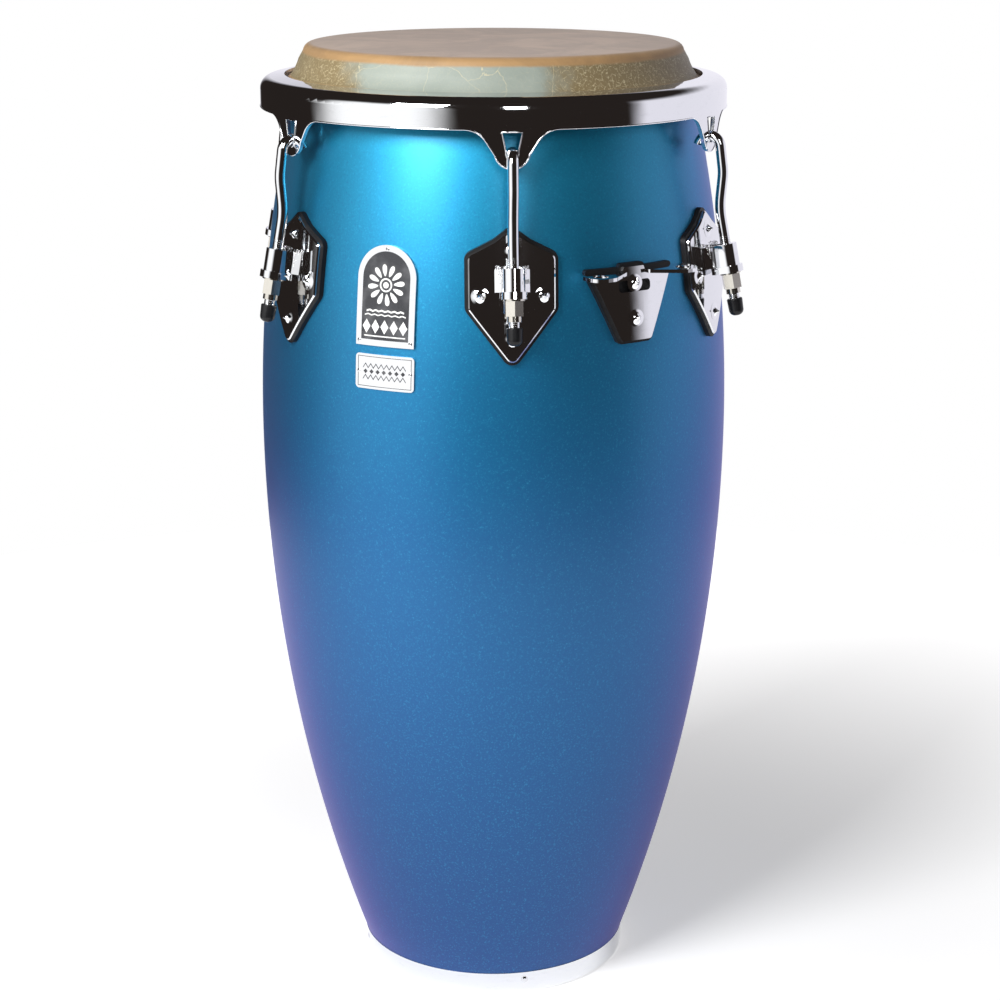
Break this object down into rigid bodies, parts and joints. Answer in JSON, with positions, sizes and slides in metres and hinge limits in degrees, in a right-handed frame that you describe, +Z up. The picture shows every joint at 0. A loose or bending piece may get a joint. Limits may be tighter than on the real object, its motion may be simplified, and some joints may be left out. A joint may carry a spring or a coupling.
{
  "type": "conga drum",
  "caption": "Tall barrel-shaped hand drum: a skin held by a comfort hoop that J-hooks and tuning nuts draw down, on lug plates, with a foot ring.",
  "frame": {"origin": "middle of the foot ring's underside, on the drum's axis", "axes": "+Z up along the drum's axis to the playing face; lug 1 faces -Y; the badge is 30 degrees to its left and the side bracket 30 degrees to its right, seen from outside"},
  "size_m": [0.3728, 0.4232, 0.762],
  "materials": {
    "shell": "satin metallic paint that shifts from cyan blue to violet, bare wood inside",
    "chrome": "polished chrome plate",
    "nickel": "bright nickel plate",
    "steel": "plain zinc-plated steel",
    "screw": "polished, dark socket",
    "rubber": "matte black",
    "cap": "satin black",
    "skin": "matte natural skin, translucent golden edge",
    "enamel": "gloss black enamel"
  },
  "bodies": {
    "drum": {"shell": "shell", "foot_ring": "chrome", "foot_ring_screws": "screw", "drumhead_skin": "skin", "skin_collar": "skin", "strap_seats": "chrome", "seat_washers": "nickel", "plate_bolts": "chrome", "bracket_bolts": "chrome", "bolt_washers": "steel", "bolt_nuts": "steel", "badge_plate": "chrome", "badge_panel": "enamel", "badge_pins": "chrome", "name_plate": "chrome", "name_plate_pins": "chrome", "bracket_gasket": "rubber", "side_bracket": "chrome", "lug_gasket_1": "rubber", "lug_gasket_2": "rubber", "lug_gasket_3": "rubber", "lug_gasket_4": "rubber", "lug_gasket_5": "rubber", "lug_gasket_6": "rubber", "lug_plate_1": "chrome", "lug_plate_2": "chrome", "lug_plate_3": "chrome", "lug_plate_4": "chrome", "lug_plate_5": "chrome", "lug_plate_6": "chrome", "lug_strap_1": "chrome", "lug_strap_2": "chrome", "lug_strap_3": "chrome", "lug_strap_4": "chrome", "lug_strap_5": "chrome", "lug_strap_6": "chrome"},
    "rim": {"tension_hoop": "chrome", "flesh_ring": "steel"},
    "hook_1": {"tension_hook_1": "chrome", "hook_cap_1": "cap"},
    "hook_2": {"tension_hook_2": "chrome", "hook_cap_2": "cap"},
    "hook_3": {"tension_hook_3": "chrome", "hook_cap_3": "cap"},
    "hook_4": {"tension_hook_4": "chrome", "hook_cap_4": "cap"},
    "hook_5": {"tension_hook_5": "chrome", "hook_cap_5": "cap"},
    "hook_6": {"tension_hook_6": "chrome", "hook_cap_6": "cap"},
    "nut_1": {"tuning_nut_1": "nickel"},
    "nut_2": {"tuning_nut_2": "nickel"},
    "nut_3": {"tuning_nut_3": "nickel"},
    "nut_4": {"tuning_nut_4": "nickel"},
    "nut_5": {"tuning_nut_5": "nickel"},
    "nut_6": {"tuning_nut_6": "nickel"}
  },
  "joints": [
    {"name": "hoop_tune", "type": "slide", "parent": "drum", "child": "rim", "axis": [0, 0, -1], "range_m": [0, 0.007], "deforming": ["skin_collar"]},
    {"name": "hook_1_draw", "type": "slide", "parent": "drum", "child": "hook_1", "axis": [0, -0.1987, -0.9801], "range_m": [0, 0.0072]},
    {"name": "hook_2_draw", "type": "slide", "parent": "drum", "child": "hook_2", "axis": [0.1721, -0.0994, -0.9801], "range_m": [0, 0.0072]},
    {"name": "hook_3_draw", "type": "slide", "parent": "drum", "child": "hook_3", "axis": [0.1721, 0.0994, -0.9801], "range_m": [0, 0.0072]},
    {"name": "hook_4_draw", "type": "slide", "parent": "drum", "child": "hook_4", "axis": [0, 0.1987, -0.9801], "range_m": [0, 0.0072]},
    {"name": "hook_5_draw", "type": "slide", "parent": "drum", "child": "hook_5", "axis": [-0.1721, 0.0994, -0.9801], "range_m": [0, 0.0072]},
    {"name": "hook_6_draw", "type": "slide", "parent": "drum", "child": "hook_6", "axis": [-0.1721, -0.0994, -0.9801], "range_m": [0, 0.0072]},
    {"name": "nut_1_turn", "type": "hinge", "parent": "drum", "child": "nut_1", "pos_m": [0, -0.20135, 0.5904], "axis": [0, 0.1987, 0.9801], "range_deg": [0, 1830]},
    {"name": "nut_2_turn", "type": "hinge", "parent": "drum", "child": "nut_2", "pos_m": [0.17438, -0.10068, 0.5904], "axis": [-0.1721, 0.0994, 0.9801], "range_deg": [0, 1830]},
    {"name": "nut_3_turn", "type": "hinge", "parent": "drum", "child": "nut_3", "pos_m": [0.17438, 0.10068, 0.5904], "axis": [-0.1721, -0.0994, 0.9801], "range_deg": [0, 1830]},
    {"name": "nut_4_turn", "type": "hinge", "parent": "drum", "child": "nut_4", "pos_m": [0, 0.20135, 0.5904], "axis": [0, -0.1987, 0.9801], "range_deg": [0, 1830]},
    {"name": "nut_5_turn", "type": "hinge", "parent": "drum", "child": "nut_5", "pos_m": [-0.17438, 0.10068, 0.5904], "axis": [0.1721, -0.0994, 0.9801], "range_deg": [0, 1830]},
    {"name": "nut_6_turn", "type": "hinge", "parent": "drum", "child": "nut_6", "pos_m": [-0.17438, -0.10068, 0.5904], "axis": [0.1721, 0.0994, 0.9801], "range_deg": [0, 1830]}
  ],
  "couplings": [
    {"joint": "hook_1_draw", "follows": "hoop_tune", "ratio": 1.0204},
    {"joint": "hook_2_draw", "follows": "hoop_tune", "ratio": 1.0204},
    {"joint": "hook_3_draw", "follows": "hoop_tune", "ratio": 1.0204},
    {"joint": "hook_4_draw", "follows": "hoop_tune", "ratio": 1.0204},
    {"joint": "hook_5_draw", "follows": "hoop_tune", "ratio": 1.0204},
    {"joint": "hook_6_draw", "follows": "hoop_tune", "ratio": 1.0204},
    {"joint": "nut_1_turn", "follows": "hoop_tune", "rad_per_m": 4543.3},
    {"joint": "nut_2_turn", "follows": "hoop_tune", "rad_per_m": 4543.3},
    {"joint": "nut_3_turn", "follows": "hoop_tune", "rad_per_m": 4543.3},
    {"joint": "nut_4_turn", "follows": "hoop_tune", "rad_per_m": 4543.3},
    {"joint": "nut_5_turn", "follows": "hoop_tune", "rad_per_m": 4543.3},
    {"joint": "nut_6_turn", "follows": "hoop_tune", "rad_per_m": 4543.3}
  ]
}
